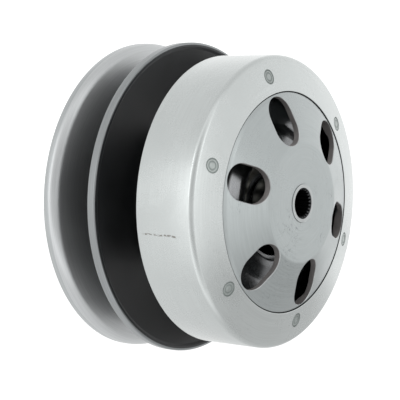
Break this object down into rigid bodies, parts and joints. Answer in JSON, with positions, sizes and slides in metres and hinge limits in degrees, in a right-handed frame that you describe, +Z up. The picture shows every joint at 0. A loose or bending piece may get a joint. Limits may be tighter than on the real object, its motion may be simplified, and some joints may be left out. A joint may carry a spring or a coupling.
{
  "type": "cvt driven pulley with centrifugal clutch and bell",
  "caption": "Spring-loaded driven pulley of a belt transmission, with its centrifugal clutch inside a steel bell whose dished hub plate is pierced by round-ended windows.",
  "frame": {"origin": "on the shaft's axis, at the front face of the bell's splined hub", "axes": "+Y along the shaft from the bell towards the gearbox, +Z up; the bell faces -Y"},
  "size_m": [0.1696, 0.109, 0.1696],
  "materials": {
    "satin_steel": "satin pressed steel, light grey",
    "plate_steel": "satin turned steel, a little darker than the drum",
    "polished_steel": "fine turned steel, bright where the belt runs",
    "coated_steel": "black semi-matt coating, worn bright at the rim",
    "dark_steel": "dark phosphated steel",
    "cast_aluminium": "rough die casting",
    "lining": "matt brown friction lining",
    "spring_steel": "oiled spring steel",
    "zinc_plated_steel": "yellowish zinc plating",
    "bearing_steel": "ground and polished",
    "rubber": "matt black",
    "nylon": "satin black"
  },
  "bodies": {
    "clutch_bell": {"bell_drum": "satin_steel", "bell_hub_plate": "plate_steel", "bell_splined_hub": "plate_steel", "bearing_inner_ring": "bearing_steel"},
    "driven_pulley": {"fixed_sheave": "polished_steel", "pulley_hub_tube": "dark_steel", "guide_pin_1": "bearing_steel", "guide_pin_2": "bearing_steel", "guide_pin_3": "bearing_steel", "bearing_outer_ring": "bearing_steel", "bearing_balls_and_cage": "spring_steel", "needle_bearing": "spring_steel", "bearing_circlip": "spring_steel", "clutch_drive_plate": "dark_steel", "pivot_pin_1": "spring_steel", "pivot_pin_2": "spring_steel", "pivot_pin_3": "spring_steel", "pivot_e_clip_1": "spring_steel", "pivot_e_clip_2": "spring_steel", "pivot_e_clip_3": "spring_steel", "clutch_side_plate": "satin_steel", "shoe_return_spring_1": "spring_steel", "shoe_return_spring_2": "spring_steel", "shoe_return_spring_3": "spring_steel", "shoe_damper_1": "rubber", "shoe_damper_2": "rubber", "shoe_damper_3": "rubber", "clutch_nut": "zinc_plated_steel", "clutch_lock_washer": "zinc_plated_steel", "main_spring": "spring_steel", "spring_seat_clutch_end": "nylon"},
    "sheave_spring_seat": {"spring_seat_sheave_end": "nylon"},
    "moving_face": {"moving_sheave": "coated_steel", "cam_sleeve": "dark_steel", "sleeve_seal_front": "rubber", "sleeve_seal_rear": "rubber", "collar_o_ring_1": "rubber", "collar_o_ring_2": "rubber", "seal_collar": "spring_steel"},
    "shoe_1": {"clutch_shoe_1": "cast_aluminium", "shoe_lining_1": "lining"},
    "shoe_2": {"clutch_shoe_2": "cast_aluminium", "shoe_lining_2": "lining"},
    "shoe_3": {"clutch_shoe_3": "cast_aluminium", "shoe_lining_3": "lining"}
  },
  "joints": [
    {"name": "pulley_spin", "type": "hinge", "parent": "clutch_bell", "child": "driven_pulley", "pos_m": [0, 0, 0], "axis": [0, 1, 0], "continuous": true},
    {"name": "sheave_slide", "type": "slide", "parent": "driven_pulley", "child": "sheave_spring_seat", "axis": [0, -1, 0], "range_m": [0, 0.012], "stiffness_N_per_m": 4000, "springref_m": -0.03, "deforming": ["main_spring"]},
    {"name": "sheave_turn", "type": "hinge", "parent": "sheave_spring_seat", "child": "moving_face", "pos_m": [0, 0, 0], "axis": [0, 1, 0], "range_deg": [0, 33.1]},
    {"name": "shoe_1_swing", "type": "hinge", "parent": "driven_pulley", "child": "shoe_1", "pos_m": [0.058, 0.033, 0], "axis": [0, 1, 0], "range_deg": [0, 0.9], "stiffness_Nm_per_rad": 20, "springref_deg": -3.44, "deforming": ["shoe_return_spring_1"]},
    {"name": "shoe_2_swing", "type": "hinge", "parent": "driven_pulley", "child": "shoe_2", "pos_m": [-0.029, 0.033, 0.05023], "axis": [0, 1, 0], "range_deg": [0, 0.9], "stiffness_Nm_per_rad": 20, "springref_deg": -3.44, "deforming": ["shoe_return_spring_2"]},
    {"name": "shoe_3_swing", "type": "hinge", "parent": "driven_pulley", "child": "shoe_3", "pos_m": [-0.029, 0.033, -0.05023], "axis": [0, 1, 0], "range_deg": [0, 0.9], "stiffness_Nm_per_rad": 20, "springref_deg": -3.44, "deforming": ["shoe_return_spring_3"]}
  ],
  "couplings": [
    {"joint": "sheave_turn", "follows": "sheave_slide", "rad_per_m": 48.077}
  ]
}
